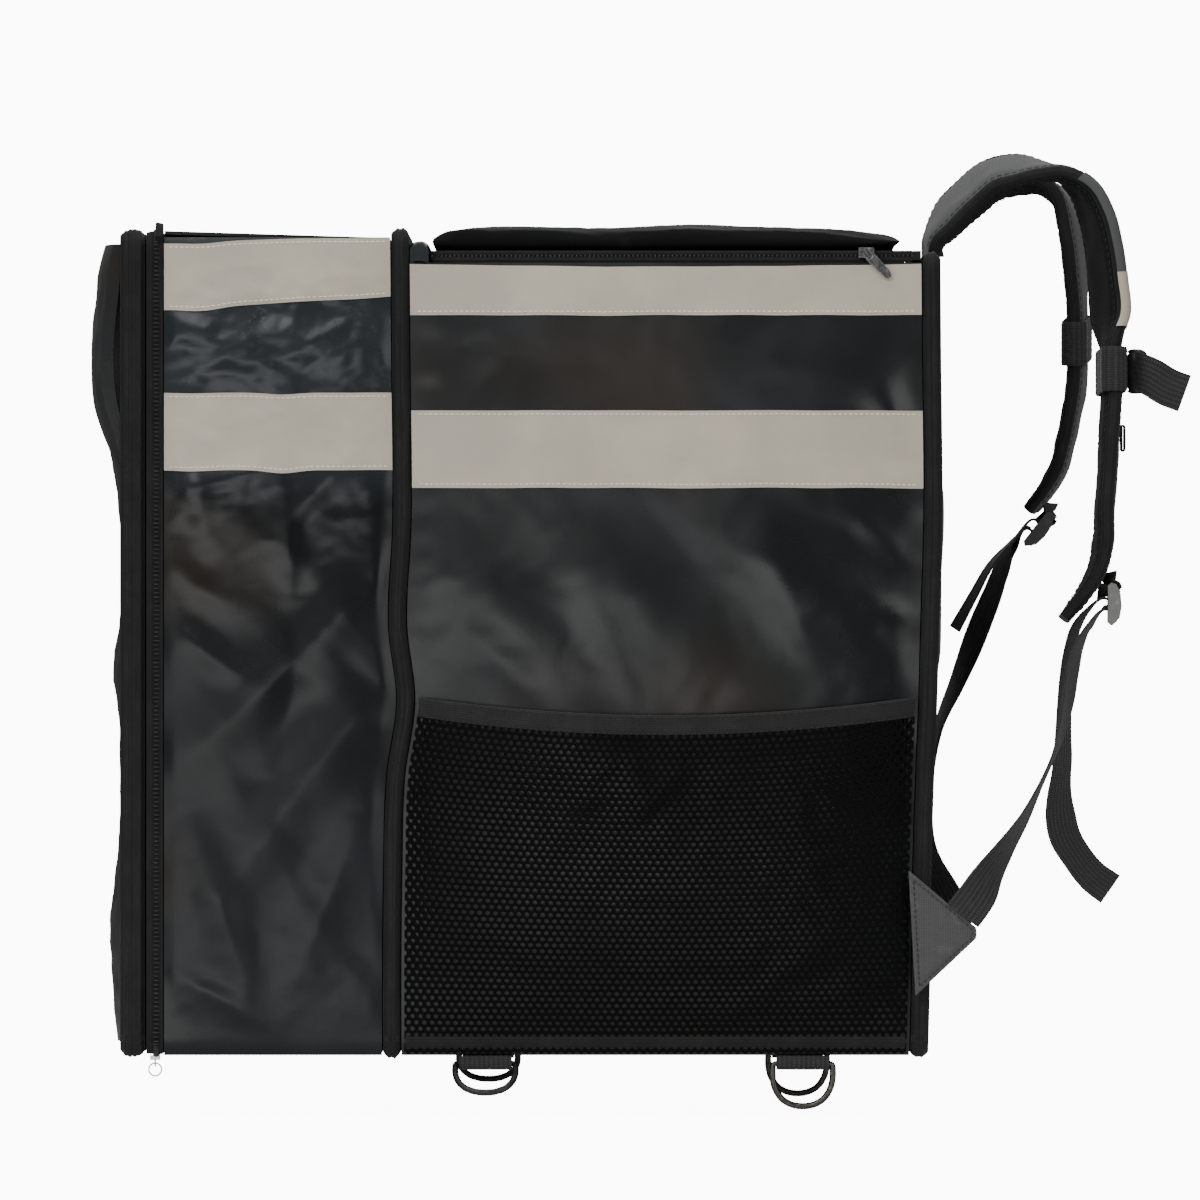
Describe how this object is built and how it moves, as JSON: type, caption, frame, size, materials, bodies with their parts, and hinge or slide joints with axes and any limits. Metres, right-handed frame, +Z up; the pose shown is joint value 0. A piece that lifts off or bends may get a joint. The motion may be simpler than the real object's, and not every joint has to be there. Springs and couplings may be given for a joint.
{
  "type": "insulated delivery backpack",
  "caption": "Square insulated delivery backpack with an expansion section, side net pockets, reflective tapes and padded shoulder straps.",
  "frame": {"origin": "on the back pad's outer face, where the bag rests on the wearer's back, at half its height", "axes": "+X to the wearer, +Z up, the side with the shown straps faces -Y"},
  "size_m": [0.7128, 0.4809, 0.6214],
  "materials": {
    "tarpaulin": "glossy coated tarpaulin",
    "edging": "matt woven binding",
    "zip_cloth": "zip tape",
    "reflective_tape": "beige-grey reflective cloth",
    "net": "knitted net",
    "webbing": "woven webbing",
    "strap_cloth": "padded woven cloth",
    "anchor_cloth": "woven cloth",
    "black_plastic": "moulded",
    "grey_plastic": "moulded",
    "dark_metal": "dark plated",
    "bright_metal": "bright plated"
  },
  "bodies": {
    "bag": {"back_edging": "edging", "back_pad": "net", "back_panel": "tarpaulin", "chest_sleeve_far": "webbing", "chest_sleeve_near": "webbing", "chest_slider_near": "black_plastic", "chest_tail_near": "webbing", "expansion_base": "tarpaulin", "expansion_high_tape_far": "reflective_tape", "expansion_high_tape_near": "reflective_tape", "expansion_low_tape_far": "reflective_tape", "expansion_low_tape_near": "reflective_tape", "expansion_side_far": "tarpaulin", "expansion_side_near": "tarpaulin", "expansion_top": "tarpaulin", "front_door": "tarpaulin", "front_edging": "edging", "front_slider": "bright_metal", "front_zip_tape": "zip_cloth", "ladder_lock_far": "grey_plastic", "ladder_lock_near": "grey_plastic", "lid": "edging", "lid_back_strip": "edging", "lid_slider": "dark_metal", "lid_zip": "zip_cloth", "lock_loop_far": "webbing", "lock_loop_near": "webbing", "main_base": "tarpaulin", "main_high_tape_far": "reflective_tape", "main_high_tape_near": "reflective_tape", "main_low_tape_far": "reflective_tape", "main_low_tape_near": "reflective_tape", "main_side_far": "tarpaulin", "main_side_near": "tarpaulin", "middle_edging": "edging", "pocket_band_far": "edging", "pocket_band_near": "edging", "pocket_net_far": "net", "pocket_net_near": "net", "ring_tab_back_far": "webbing", "ring_tab_back_near": "webbing", "ring_tab_front_far": "webbing", "ring_tab_front_near": "webbing", "shoulder_strap_far": "strap_cloth", "shoulder_strap_near": "strap_cloth", "strap_anchor_far": "anchor_cloth", "strap_anchor_near": "anchor_cloth", "strap_keeper_near": "webbing", "top_rim": "tarpaulin", "webbing_far": "webbing", "webbing_near": "webbing"},
    "d_ring_back_far": {"d_ring_back_far": "dark_metal"},
    "d_ring_back_near": {"d_ring_back_near": "dark_metal"},
    "d_ring_front_far": {"d_ring_front_far": "dark_metal"},
    "d_ring_front_near": {"d_ring_front_near": "dark_metal"},
    "front_ring_pull": {"front_ring_pull": "bright_metal"},
    "lid_pull": {"lid_pull": "dark_metal"}
  },
  "joints": [
    {"name": "ring_swing_front_near", "type": "hinge", "parent": "bag", "child": "d_ring_front_near", "pos_m": [-0.29588, -0.21, -0.2712], "axis": [1, 0, 0], "range_deg": [-35, 125]},
    {"name": "ring_swing_front_far", "type": "hinge", "parent": "bag", "child": "d_ring_front_far", "pos_m": [-0.29588, 0.21, -0.2712], "axis": [1, 0, 0], "range_deg": [-125, 35]},
    {"name": "ring_swing_back_near", "type": "hinge", "parent": "bag", "child": "d_ring_back_near", "pos_m": [-0.09116, -0.21, -0.2712], "axis": [1, 0, 0], "range_deg": [-80, 80]},
    {"name": "ring_swing_back_far", "type": "hinge", "parent": "bag", "child": "d_ring_back_far", "pos_m": [-0.09116, 0.21, -0.2712], "axis": [1, 0, 0], "range_deg": [-80, 80]},
    {"name": "lid_pull_swing", "type": "hinge", "parent": "bag", "child": "lid_pull", "pos_m": [-0.05011, -0.2178, 0.25188], "axis": [0.7193, 0, 0.6947], "range_deg": [-100, 0]},
    {"name": "front_pull_swing", "type": "hinge", "parent": "bag", "child": "front_ring_pull", "pos_m": [-0.50925, -0.196, -0.27128], "axis": [1, 0, 0], "range_deg": [-75, 75]}
  ]
}
